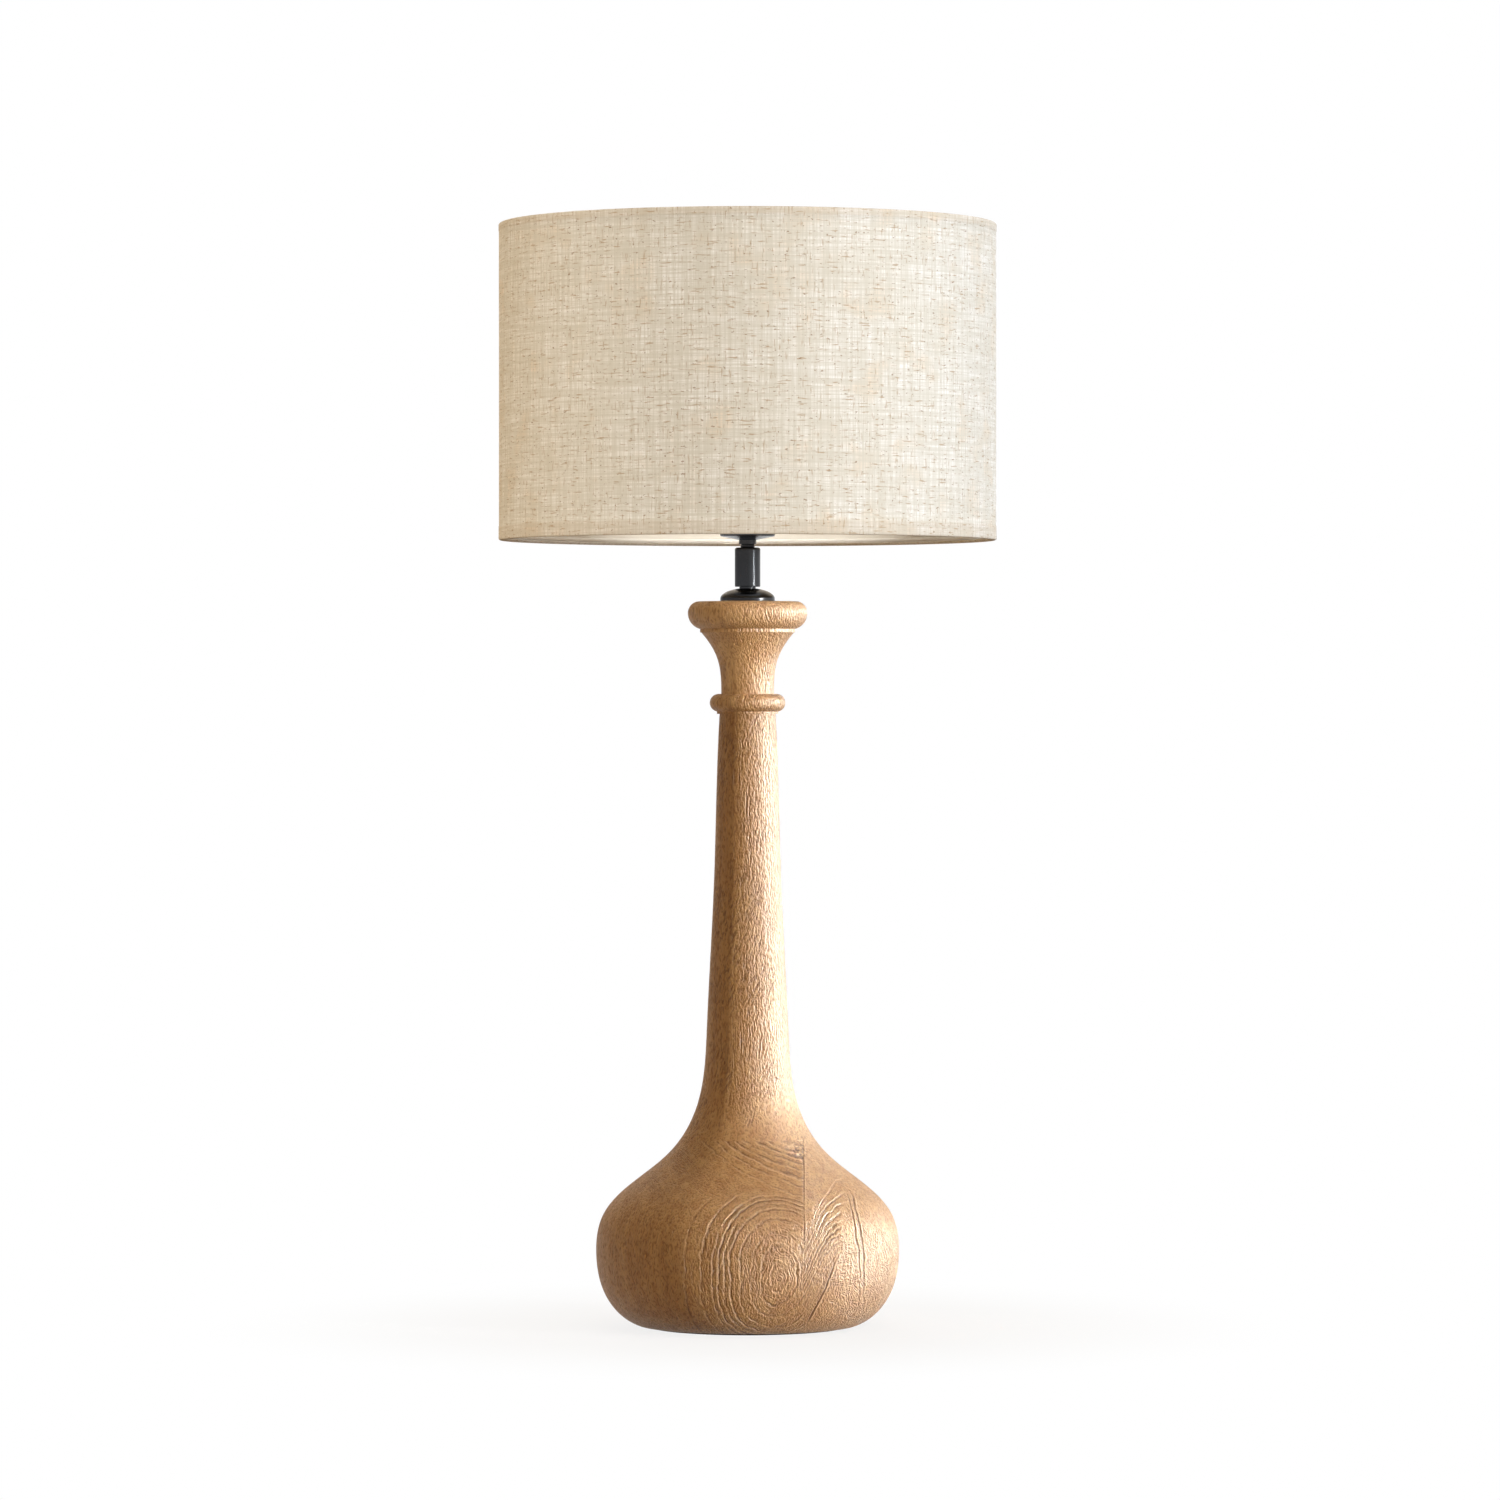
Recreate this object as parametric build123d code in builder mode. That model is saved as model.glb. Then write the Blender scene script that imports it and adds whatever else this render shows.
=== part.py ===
from build123d import *
import os
from math import asin, cos, degrees, isclose, radians, sin, sqrt

# A table lamp: a turned wood stand, a metal stem and lampholder, and a linen drum shade.
# Millimetres, +Z up. The origin is on the tabletop under the middle of the foot,
# and the side where the cord enters faces +Y.

# Clearances
thread_clearance = 0.1
bore_clearance = 0.5
slip_clearance = 0.2
running_clearance = 0.3
cloth_gap = 0.3
weld_gap = 0.02

# Felt pad under the foot
felt_radius = 70.0
felt_thickness = 1.5

# Turned wood outline: the radius at each station, and its rise from the station below
foot_radius = 77.4
heel_radius = 91.9
heel_rise = 9.4
inlet_radius = 101.7
inlet_rise = 15.1
belly_radius = 106.5
belly_rise = 24.0
shoulder_radius = 102.1
shoulder_rise = 27.7
slope_radius = 83.2
slope_rise = 21.6
saddle_radius = 55.1
saddle_rise = 23.0
joint_radius = 46.4
joint_rise = 10.7
throat_radius = 35.3
throat_rise = 23.4
stem_radius = 28.8
stem_rise = 52.1
shaft_radius = 23.4
shaft_rise = 112.6
neck_radius = 19.7
neck_rise = 109.8

# Collar bead near the top of the neck
step_radius = 21.6
step_height = 1.7
bead_radius = 26.6
bead_height = 12.4
crown_radius = 20.4

# Flared head of the neck and its rim
waist_radius = 18.5
flare_mid_radius = 22.6
flare_mid_rise = 28.1
flare_top_radius = 32.6
flare_top_rise = 15.1
flare_top_slope = 49.5
listel_radius = 33.4
listel_height = 2.4
rim_radius = 42.05
rim_under_rise = 11.2
rim_over_rise = 8.1
top_flat_radius = 36.0

# Glued tenon between the two wood pieces
tenon_radius = 17.0
tenon_length = 40.0
tenon_end_gap = 0.8

# Recess under the foot
recess_radius = 27.0
recess_depth = 44.0

# Cord inlet grommet
seat_depth = 6.0
grommet_bore_radius = 3.6
grommet_wall = 1.4
grommet_length = 22.0
grommet_flange_radius = 7.5
grommet_flange_thickness = 2.0
grommet_edge = 0.8

# Threaded tube that clamps the stand, with its washer and nut
tube_radius = 5.0
tube_wall = 1.2
tube_tail = 4.0
washer_radius = 18.0
washer_thickness = 2.0
nut_width = 17.0
nut_height = 6.0
nut_chamfer = 0.6

# Domed cap on the wood
dome_radius = 19.2
dome_lip = 2.0
dome_height = 7.6
dome_sheet = 1.0
boss_radius = 5.8
boss_height = 0.8

# Coupling sleeve over the cap
sleeve_radius = 9.0
sleeve_length = 27.6
sleeve_round = 1.5
sleeve_chamfer = 0.4
sleeve_gap = 3.6

# Lampholder
thread_showing = 2.4
collar_radius = 6.2
collar_height = 2.8
holder_radius = 19.35
holder_wall = 1.0
dish_rise = 2.8
dish_round = 1.2
cup_height = 20.0
bush_radius = 8.5
bush_height = 8.8
skirt_height = 30.0
spigot_length = 6.0
flange_offset = 4.0
flange_radius = 26.0
flange_thickness = 2.5
flange_round = 0.8

# Porcelain core of the lampholder
core_floor = 16.0
core_rim_gap = 2.5

# Screw shell, centre contact and terminal screws in the core
shell_bore_radius = 13.4
shell_wall = 0.4
shell_mouth_radius = 8.0
contact_width = 5.0
contact_sheet = 0.6
contact_rise = 3.0
contact_foot = 1.5
contact_ramp = 2.5
contact_pad = 6.0
terminal_offset = 11.0
terminal_pocket_radius = 3.6
terminal_pocket_depth = 5.0
terminal_head_radius = 2.6
terminal_head_height = 2.2
terminal_shank_radius = 1.5
terminal_shank_length = 6.0
terminal_slot_width = 0.7
terminal_slot_depth = 0.9

# Shade ring, a scalloped nut on the lampholder's thread
ring_radius = 26.0
ring_height = 8.0
ring_chamfer = 0.8
scallop_count = 12
scallop_radius = 3.2
scallop_depth = 1.2

# Light bulb
tip_radius = 4.6
tip_height = 1.6
glass_foot_radius = 5.5
glass_top_radius = 10.5
glass_height = 4.5
cap_radius = 13.0
cap_wall = 0.4
cap_length = 20.0
cap_lip = 2.5
cap_shoulder = 1.5
housing_neck_radius = 13.6
housing_neck_slope = 78.7
housing_spigot = 5.0
housing_height = 36.0
housing_wall = 1.5
globe_radius = 30.0
globe_seat_radius = 26.5
globe_wall = 1.2

# Drum shade: linen over a liner, rolled over a wire ring at each end
shade_radius = 175.0
wire_spacing = 216.2
wire_radius = 2.0
cloth = 0.6
liner_sheet = 0.5
hem_wrap = 155.0

# Wire spider that carries the shade
spider_drop = 27.7
arm_count = 3
arm_first_turn = 90.0
arm_radius = 1.8
arm_reach = 20.0
arm_bend_radius = 15.0
arm_stop = 1.0
notch_length = 14.0
fitter_radius = 28.0
fitter_thickness = 2.0
fitter_play = 0.6

# Heights up the wood
foot_z = felt_thickness
heel_z = foot_z + heel_rise
inlet_z = heel_z + inlet_rise
belly_z = inlet_z + belly_rise
shoulder_z = belly_z + shoulder_rise
slope_z = shoulder_z + slope_rise
saddle_z = slope_z + saddle_rise
joint_z = saddle_z + joint_rise
throat_z = joint_z + throat_rise
stem_z = throat_z + stem_rise
shaft_z = stem_z + shaft_rise
neck_z = shaft_z + neck_rise
step_z = neck_z + step_height
crown_z = step_z + bead_height
flare_mid_z = crown_z + flare_mid_rise
flare_top_z = flare_mid_z + flare_top_rise
listel_z = flare_top_z + listel_height
rim_z = listel_z + rim_under_rise
wood_top_z = rim_z + rim_over_rise

# Heights up the metal stack
recess_top_z = foot_z + recess_depth
washer_z = recess_top_z - washer_thickness
nut_z = washer_z - nut_height
tube_z = nut_z - tube_tail
dome_spring_z = wood_top_z + dome_lip
dome_top_z = dome_spring_z + dome_height
sleeve_z = dome_top_z + boss_height
sleeve_top_z = sleeve_z + sleeve_length
sleeve_middle_z = sleeve_z + sleeve_length / 2
tube_top_z = sleeve_middle_z - sleeve_gap / 2
nipple_z = sleeve_middle_z + sleeve_gap / 2
collar_z = sleeve_top_z + thread_showing
dish_z = collar_z + collar_height
cup_wall_z = dish_z + dish_rise
cup_top_z = cup_wall_z + cup_height
bush_top_z = dish_z + bush_height
flange_z = cup_top_z + flange_offset
flange_top_z = flange_z + flange_thickness
skirt_top_z = cup_top_z + skirt_height
core_floor_z = bush_top_z + core_floor
core_top_z = skirt_top_z - core_rim_gap
contact_pad_z = core_floor_z + contact_rise
contact_top_z = contact_pad_z + contact_sheet
pocket_top_z = bush_top_z + terminal_pocket_depth
terminal_z = pocket_top_z - terminal_head_height

# Heights of the shade and what carries it
fitter_z = flange_top_z + slip_clearance
fitter_middle_z = fitter_z + fitter_thickness / 2
ring_z = fitter_z + fitter_thickness + slip_clearance
bottom_wire_z = fitter_middle_z - spider_drop
top_wire_z = bottom_wire_z + wire_spacing
shade_middle_z = bottom_wire_z + wire_spacing / 2

# Heights up the light bulb
tip_z = contact_top_z + slip_clearance
glass_z = tip_z + tip_height
cap_z = glass_z + glass_height
cap_top_z = cap_z + cap_length
globe_seat_z = cap_top_z + housing_height
globe_drop = sqrt(globe_radius**2 - globe_seat_radius**2)
globe_z = globe_seat_z + globe_drop

# Radii that follow from the sizes above
tube_bore_radius = tube_radius - tube_wall
tube_hole_radius = tube_radius + bore_clearance
thread_hole_radius = tube_radius + thread_clearance
grommet_radius = grommet_bore_radius + grommet_wall
cup_bore_radius = holder_radius - holder_wall
spigot_radius = cup_bore_radius - thread_clearance
skirt_bore_radius = spigot_radius - holder_wall
core_radius = skirt_bore_radius - slip_clearance
shell_radius = shell_bore_radius + shell_wall
fitter_bore_radius = holder_radius + fitter_play
ring_bore_radius = holder_radius + running_clearance
liner_radius = shade_radius - cloth - cloth_gap
wire_ring_radius = liner_radius - liner_sheet - cloth_gap - wire_radius
hem_inner_radius = wire_radius + cloth_gap
hem_outer_radius = hem_inner_radius + cloth
notch_radius = hem_outer_radius + cloth_gap

# Places that two pieces share
inlet_seat_y = inlet_radius - seat_depth
inlet_seat = Plane(origin=(0, inlet_seat_y, inlet_z), x_dir=(1, 0, 0), z_dir=(0, 1, 0))
terminal_places = [(-terminal_offset, 0), (terminal_offset, 0)]
arm_turns = [arm_first_turn + 360 * i / arm_count for i in range(arm_count)]
arm_bend = (fitter_radius + arm_reach, fitter_middle_z)
arm_slope = Vector(wire_ring_radius - arm_bend[0], bottom_wire_z - arm_bend[1]).normalized()
arm_end = (
    wire_ring_radius - arm_stop * arm_slope.X,
    bottom_wire_z - arm_stop * arm_slope.Y,
)

os.makedirs("parts", exist_ok=True)


def write(built, name):
    """Labels a finished piece and writes it to a file of that name."""
    built.part.label = name
    export_step(built.part, f"parts/{name}.step")


def circles(built, radius):
    """The round edges of a piece that have this radius, from the lowest up."""
    round_edges = built.edges().filter_by(GeomType.CIRCLE)
    return round_edges.filter_by(lambda edge: isclose(edge.radius, radius)).sort_by(Axis.Z)


def radial_plane(turn):
    """The upright plane through the axis whose local X points outwards at this turn."""
    angle = radians(turn)
    return Plane(
        origin=(0, 0, 0),
        x_dir=(cos(angle), sin(angle), 0),
        z_dir=(sin(angle), -cos(angle), 0),
    )


# Felt pad
with BuildPart() as felt_pad:
    with BuildSketch():
        Circle(felt_radius)
    extrude(amount=felt_thickness)
write(felt_pad, "felt_pad")

# One outline for both wood pieces, so that the curve runs on across the glued joint
with BuildSketch(Plane.XZ) as wood_outline:
    flare_angle = radians(flare_top_slope)
    with BuildLine():
        Line((0, foot_z), (foot_radius, foot_z))
        Spline(
            (foot_radius, foot_z),
            (heel_radius, heel_z),
            (inlet_radius, inlet_z),
            (belly_radius, belly_z),
            (shoulder_radius, shoulder_z),
            (slope_radius, slope_z),
            (saddle_radius, saddle_z),
            (joint_radius, joint_z),
            (throat_radius, throat_z),
            (stem_radius, stem_z),
            (shaft_radius, shaft_z),
            (neck_radius, neck_z),
        )
        Polyline((neck_radius, neck_z), (step_radius, neck_z), (step_radius, step_z))
        ThreePointArc(
            (step_radius, step_z),
            (bead_radius, step_z + bead_height / 2),
            (crown_radius, crown_z),
        )
        Line((crown_radius, crown_z), (waist_radius, crown_z))
        Spline(
            (waist_radius, crown_z),
            (flare_mid_radius, flare_mid_z),
            (flare_top_radius, flare_top_z),
            tangents=((0, 1), (cos(flare_angle), sin(flare_angle))),
        )
        Polyline(
            (flare_top_radius, flare_top_z),
            (listel_radius, flare_top_z),
            (listel_radius, listel_z),
        )
        TangentArc((rim_radius, rim_z), (listel_radius, listel_z), tangent=(0, -1))
        TangentArc((rim_radius, rim_z), (top_flat_radius, wood_top_z), tangent=(0, 1))
        Polyline((top_flat_radius, wood_top_z), (0, wood_top_z), (0, foot_z))
    make_face()

# Turned base, bored for the tube, the tenon, the nut and the cord
with BuildPart() as turned_base:
    revolve(wood_outline.sketch, axis=Axis.Z)
    split(bisect_by=Plane.XY.offset(joint_z), keep=Keep.BOTTOM)
    with Locations((0, 0, joint_z)):
        CounterBoreHole(
            tube_hole_radius, tenon_radius + slip_clearance, tenon_length + tenon_end_gap
        )
    with Locations(Location((0, 0, foot_z), (180, 0, 0))):
        CounterBoreHole(tube_hole_radius, recess_radius, recess_depth)
    with Locations(inlet_seat):
        CounterBoreHole(
            grommet_radius + thread_clearance,
            grommet_flange_radius + slip_clearance,
            0,
            depth=inlet_seat_y,
        )
write(turned_base, "turned_base")

# Turned neck with its tenon
with BuildPart() as turned_neck:
    revolve(wood_outline.sketch, axis=Axis.Z)
    split(bisect_by=Plane.XY.offset(joint_z), keep=Keep.TOP)
    with BuildSketch(Plane.XY.offset(joint_z)):
        Circle(tenon_radius)
    extrude(amount=-tenon_length)
    with Locations((0, 0, wood_top_z)):
        Hole(tube_hole_radius)
write(turned_neck, "turned_neck")

# Cord inlet grommet
with BuildPart() as cord_grommet:
    with BuildSketch(inlet_seat):
        Circle(grommet_flange_radius)
    extrude(amount=grommet_flange_thickness)
    fillet(cord_grommet.edges().group_by(Axis.Y)[-1], grommet_edge)
    with BuildSketch(inlet_seat):
        Circle(grommet_radius)
    extrude(amount=-grommet_length)
    with Locations(inlet_seat):
        Hole(grommet_bore_radius)
write(cord_grommet, "cord_grommet")

# Threaded tube up the middle of the stand
with BuildPart() as threaded_tube:
    with BuildSketch(Plane.XY.offset(tube_z)):
        Circle(tube_radius)
        Circle(tube_bore_radius, mode=Mode.SUBTRACT)
    extrude(amount=tube_top_z - tube_z)
write(threaded_tube, "threaded_tube")

# Washer under the roof of the recess
with BuildPart() as base_washer:
    with BuildSketch(Plane.XY.offset(washer_z)):
        Circle(washer_radius)
        Circle(thread_hole_radius, mode=Mode.SUBTRACT)
    extrude(amount=washer_thickness)
write(base_washer, "base_washer")

# Hexagon nut below the washer
with BuildPart() as base_nut:
    with BuildSketch(Plane.XY.offset(nut_z)):
        RegularPolygon(nut_width / 2, 6, major_radius=False)
    extrude(amount=nut_height)
    chamfer(base_nut.faces().sort_by(Axis.Z)[0].edges(), nut_chamfer)
    with Locations((0, 0, nut_z)):
        Hole(thread_hole_radius)
write(base_nut, "base_nut")

# Domed cap, pressed from sheet, with a small boss
with BuildPart() as dome_cap:
    dome_bore_radius = dome_radius - dome_sheet
    with BuildSketch(Plane.XZ):
        with BuildLine():
            Line((dome_radius, wood_top_z), (dome_radius, dome_spring_z))
            EllipticalCenterArc((0, dome_spring_z), dome_radius, dome_height, 0, arc_size=90)
            Line((0, dome_top_z), (0, dome_top_z - dome_sheet))
            EllipticalCenterArc(
                (0, dome_spring_z), dome_bore_radius, dome_height - dome_sheet, 0, arc_size=90
            )
            Polyline(
                (dome_bore_radius, dome_spring_z),
                (dome_bore_radius, wood_top_z),
                (dome_radius, wood_top_z),
            )
        make_face()
    revolve(axis=Axis.Z)
    with BuildSketch(Plane.XY.offset(dome_top_z - dome_sheet)):
        Circle(boss_radius)
    extrude(amount=dome_sheet + boss_height)
    with Locations((0, 0, sleeve_z)):
        Hole(thread_hole_radius)
write(dome_cap, "dome_cap")

# Coupling sleeve
with BuildPart() as coupling_sleeve:
    with BuildSketch(Plane.XY.offset(sleeve_z)):
        Circle(sleeve_radius)
    extrude(amount=sleeve_length)
    fillet(coupling_sleeve.edges().group_by(Axis.Z)[-1], sleeve_round)
    chamfer(coupling_sleeve.edges().group_by(Axis.Z)[0], sleeve_chamfer)
    with Locations((0, 0, sleeve_top_z)):
        Hole(thread_hole_radius)
write(coupling_sleeve, "coupling_sleeve")

# Short threaded nipple from the sleeve into the lampholder
with BuildPart() as holder_nipple:
    with BuildSketch(Plane.XY.offset(nipple_z)):
        Circle(tube_radius)
        Circle(tube_bore_radius, mode=Mode.SUBTRACT)
    extrude(amount=bush_top_z - nipple_z)
write(holder_nipple, "holder_nipple")

# Lampholder cup: a collar, a shallow dish, the wall, and a threaded bush inside
with BuildPart() as holder_cup:
    dish_slope = dish_rise / (holder_radius - collar_radius)
    dish_floor_z = dish_z + holder_wall
    bush_foot_z = dish_floor_z + dish_slope * (bush_radius - collar_radius)
    wall_foot_z = dish_floor_z + dish_slope * (cup_bore_radius - collar_radius)
    with BuildSketch(Plane.XZ):
        with BuildLine():
            Polyline(
                (thread_hole_radius, collar_z),
                (collar_radius, collar_z),
                (collar_radius, dish_z),
                (holder_radius, cup_wall_z),
                (holder_radius, cup_top_z),
                (cup_bore_radius, cup_top_z),
                (cup_bore_radius, wall_foot_z),
                (bush_radius, bush_foot_z),
                (bush_radius, bush_top_z),
                (thread_hole_radius, bush_top_z),
                close=True,
            )
        make_face()
    revolve(axis=Axis.Z)
    fillet(circles(holder_cup, holder_radius)[0], dish_round)
write(holder_cup, "holder_cup")

# Lampholder skirt: a spigot in the cup, a flange for the shade and the ring's thread
with BuildPart() as holder_skirt:
    spigot_z = cup_top_z - spigot_length
    with BuildSketch(Plane.XZ):
        with BuildLine():
            Polyline(
                (skirt_bore_radius, spigot_z),
                (spigot_radius, spigot_z),
                (spigot_radius, cup_top_z),
                (holder_radius, cup_top_z),
                (holder_radius, flange_z),
                (flange_radius, flange_z),
                (flange_radius, flange_top_z),
                (holder_radius, flange_top_z),
                (holder_radius, skirt_top_z),
                (skirt_bore_radius, skirt_top_z),
                close=True,
            )
        make_face()
    revolve(axis=Axis.Z)
    fillet(circles(holder_skirt, flange_radius), flange_round)
write(holder_skirt, "holder_skirt")

# Porcelain core, with the socket above and two pockets for the terminals below
with BuildPart() as holder_core:
    with BuildSketch(Plane.XY.offset(bush_top_z)):
        Circle(core_radius)
    extrude(amount=core_top_z - bush_top_z)
    with BuildSketch(Plane.XY.offset(core_floor_z)):
        Circle(shell_radius + thread_clearance)
    extrude(amount=core_top_z - core_floor_z, mode=Mode.SUBTRACT)
    with Locations(Location((0, 0, bush_top_z), (180, 0, 0))):
        with Locations(*terminal_places):
            CounterBoreHole(
                terminal_shank_radius + thread_clearance,
                terminal_pocket_radius,
                terminal_pocket_depth,
                depth=terminal_pocket_depth + terminal_shank_length + slip_clearance,
            )
write(holder_core, "holder_core")

# Screw shell of the socket, a sheet cup with an open bottom
with BuildPart() as screw_shell:
    with BuildSketch(Plane.XZ):
        with BuildLine():
            Polyline(
                (shell_mouth_radius, core_floor_z),
                (shell_radius, core_floor_z),
                (shell_radius, core_top_z),
                (shell_bore_radius, core_top_z),
                (shell_bore_radius, core_floor_z + shell_wall),
                (shell_mouth_radius, core_floor_z + shell_wall),
                close=True,
            )
        make_face()
    revolve(axis=Axis.Z)
write(screw_shell, "screw_shell")

# Centre contact, a bent strip of spring bronze
with BuildPart() as centre_contact:
    pad_x = -contact_pad / 2
    ramp_x = pad_x - contact_ramp
    foot_x = ramp_x - contact_foot
    with BuildSketch(Plane.XZ.offset(-contact_width / 2)):
        with BuildLine():
            Polyline(
                (foot_x, core_floor_z),
                (ramp_x, core_floor_z),
                (pad_x, contact_pad_z),
                (-pad_x, contact_pad_z),
                (-pad_x, contact_top_z),
                (pad_x, contact_top_z),
                (ramp_x, core_floor_z + contact_sheet),
                (foot_x, core_floor_z + contact_sheet),
                close=True,
            )
        make_face()
    extrude(amount=contact_width)
write(centre_contact, "centre_contact")

# Terminal screws, slotted, with their heads in the core's pockets
with BuildPart() as terminal_screws:
    with BuildSketch(Plane.XY.offset(terminal_z)):
        with Locations(*terminal_places):
            Circle(terminal_head_radius)
    extrude(amount=terminal_head_height)
    with BuildSketch(Plane.XY.offset(pocket_top_z)):
        with Locations(*terminal_places):
            Circle(terminal_shank_radius)
    extrude(amount=terminal_shank_length)
    with BuildSketch(Plane.XY.offset(terminal_z)):
        with Locations(*terminal_places):
            Rectangle(2 * terminal_head_radius, terminal_slot_width)
    extrude(amount=terminal_slot_depth, mode=Mode.SUBTRACT)
write(terminal_screws, "terminal_screws")

# Shade ring
with BuildPart() as shade_ring:
    with BuildSketch(Plane.XY.offset(ring_z)):
        Circle(ring_radius)
        with PolarLocations(ring_radius + scallop_radius - scallop_depth, scallop_count):
            Circle(scallop_radius, mode=Mode.SUBTRACT)
    extrude(amount=ring_height)
    chamfer(shade_ring.faces().sort_by(Axis.Z)[-1].edges(), ring_chamfer)
    with Locations((0, 0, ring_z)):
        Hole(ring_bore_radius)
write(shade_ring, "shade_ring")

# Contact tip of the light bulb
with BuildPart() as bulb_tip:
    with BuildSketch(Plane.XZ):
        with BuildLine():
            EllipticalCenterArc((0, glass_z), tip_radius, tip_height, 270, arc_size=90)
            Polyline((tip_radius, glass_z), (0, glass_z), (0, tip_z))
        make_face()
    revolve(axis=Axis.Z)
write(bulb_tip, "bulb_tip")

# Black glass between the tip and the screw cap
with BuildPart() as bulb_insulator:
    with BuildSketch(Plane.XZ):
        with BuildLine():
            Polyline(
                (0, glass_z),
                (glass_foot_radius, glass_z),
                (glass_top_radius, cap_z),
                (0, cap_z),
                close=True,
            )
        make_face()
    revolve(axis=Axis.Z)
write(bulb_insulator, "bulb_insulator")

# Screw cap of the light bulb, a sheet cup that is open in the middle of its floor
with BuildPart() as bulb_cap:
    cap_bore_radius = cap_radius - cap_wall
    cap_floor_radius = cap_radius - cap_shoulder
    with BuildSketch(Plane.XZ):
        with BuildLine():
            Polyline(
                (glass_top_radius - cap_lip, cap_z),
                (cap_floor_radius, cap_z),
                (cap_radius, cap_z + cap_shoulder),
                (cap_radius, cap_top_z),
                (cap_bore_radius, cap_top_z),
                (cap_bore_radius, cap_z + cap_shoulder + cap_wall),
                (cap_floor_radius - cap_wall, cap_z + cap_wall),
                (glass_top_radius - cap_lip, cap_z + cap_wall),
                close=True,
            )
        make_face()
    revolve(axis=Axis.Z)
write(bulb_cap, "bulb_cap")

# Bulb housing, which flares from the cap to the globe
with BuildPart() as bulb_housing:
    spigot_outer = cap_bore_radius - thread_clearance
    spigot_inner = spigot_outer - housing_wall
    globe_inner_radius = globe_seat_radius - housing_wall
    neck_angle = radians(housing_neck_slope)
    neck_tangent = Vector(cos(neck_angle), sin(neck_angle))
    globe_tangent = Vector(globe_drop, globe_seat_radius)
    with BuildSketch(Plane.XZ):
        with BuildLine():
            Spline(
                (housing_neck_radius, cap_top_z),
                (globe_seat_radius, globe_seat_z),
                tangents=(neck_tangent, globe_tangent),
            )
            Line((globe_seat_radius, globe_seat_z), (globe_inner_radius, globe_seat_z))
            Spline(
                (globe_inner_radius, globe_seat_z),
                (spigot_inner, cap_top_z),
                tangents=(-globe_tangent, -neck_tangent),
            )
            Polyline(
                (spigot_inner, cap_top_z),
                (spigot_inner, cap_top_z - housing_spigot),
                (spigot_outer, cap_top_z - housing_spigot),
                (spigot_outer, cap_top_z),
                (housing_neck_radius, cap_top_z),
            )
        make_face()
    revolve(axis=Axis.Z)
write(bulb_housing, "bulb_housing")

# Opal globe of the light bulb
with BuildPart() as bulb_globe:
    globe_bore_radius = globe_radius - globe_wall
    outer_angle = degrees(asin(globe_drop / globe_radius))
    inner_angle = degrees(asin(globe_drop / globe_bore_radius))
    with BuildSketch(Plane.XZ):
        with BuildLine():
            outer_arc = CenterArc((0, globe_z), globe_radius, -outer_angle, outer_angle + 90)
            inner_arc = CenterArc((0, globe_z), globe_bore_radius, -inner_angle, inner_angle + 90)
            Line(outer_arc @ 0, inner_arc @ 0)
            Line(outer_arc @ 1, inner_arc @ 1)
        make_face()
    revolve(axis=Axis.Z)
write(bulb_globe, "bulb_globe")

# Linen cover, rolled over the wire at each end and notched for the spider's arms
with BuildPart() as shade_cover:
    hem_reach = shade_radius - wire_ring_radius
    wire_middle = (wire_ring_radius, bottom_wire_z)
    with BuildSketch(Plane.XZ):
        with BuildLine():
            Line((shade_radius, shade_middle_z), (shade_radius, bottom_wire_z))
            EllipticalCenterArc(wire_middle, hem_reach, hem_outer_radius, 270, arc_size=90)
            outer_roll = CenterArc(wire_middle, hem_outer_radius, 270, -hem_wrap)
            inner_roll = CenterArc(wire_middle, hem_inner_radius, 270, -hem_wrap)
            Line(outer_roll @ 1, inner_roll @ 1)
            EllipticalCenterArc(
                wire_middle, hem_reach - cloth, hem_inner_radius, 270, arc_size=90
            )
            Polyline(
                (shade_radius - cloth, bottom_wire_z),
                (shade_radius - cloth, shade_middle_z),
                (shade_radius, shade_middle_z),
            )
        make_face()
    revolve(axis=Axis.Z)
    mirror(about=Plane.XY.offset(shade_middle_z))
    for turn in arm_turns:
        radial = radial_plane(turn)
        notch_start = radial.from_local_coords((*arm_end, 0))
        notch_way = -arm_slope.X * radial.x_dir - arm_slope.Y * radial.y_dir
        with BuildSketch(Plane(origin=notch_start, z_dir=notch_way)):
            Circle(notch_radius)
        extrude(amount=notch_length, mode=Mode.SUBTRACT)
write(shade_cover, "shade_cover")

# Liner behind the linen, from one wire ring to the other
with BuildPart() as shade_liner:
    with BuildSketch(Plane.XY.offset(bottom_wire_z)):
        Circle(liner_radius)
        Circle(liner_radius - liner_sheet, mode=Mode.SUBTRACT)
    extrude(amount=wire_spacing)
write(shade_liner, "shade_liner")

# Wire rings in the rolled edges
with BuildPart() as top_ring:
    with BuildSketch(Plane.XZ):
        with Locations((wire_ring_radius, top_wire_z)):
            Circle(wire_radius)
    revolve(axis=Axis.Z)
write(top_ring, "top_ring")

with BuildPart() as bottom_ring:
    with BuildSketch(Plane.XZ):
        with Locations(wire_middle):
            Circle(wire_radius)
    revolve(axis=Axis.Z)
write(bottom_ring, "bottom_ring")

# Spider arms, bent wire from the fitter ring down to the bottom ring, coped to its curve
with BuildPart() as spider_arms:
    for turn in arm_turns:
        with BuildLine(radial_plane(turn)) as arm_line:
            FilletPolyline(
                (fitter_radius, fitter_middle_z), arm_bend, arm_end, radius=arm_bend_radius
            )
        with BuildSketch(Plane(arm_line.line ^ 0)):
            Circle(arm_radius)
        sweep(path=arm_line.line)
    with BuildSketch(Plane.XZ):
        with Locations(wire_middle):
            Circle(wire_radius + weld_gap)
    revolve(axis=Axis.Z, mode=Mode.SUBTRACT)
write(spider_arms, "spider_arms")

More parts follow.
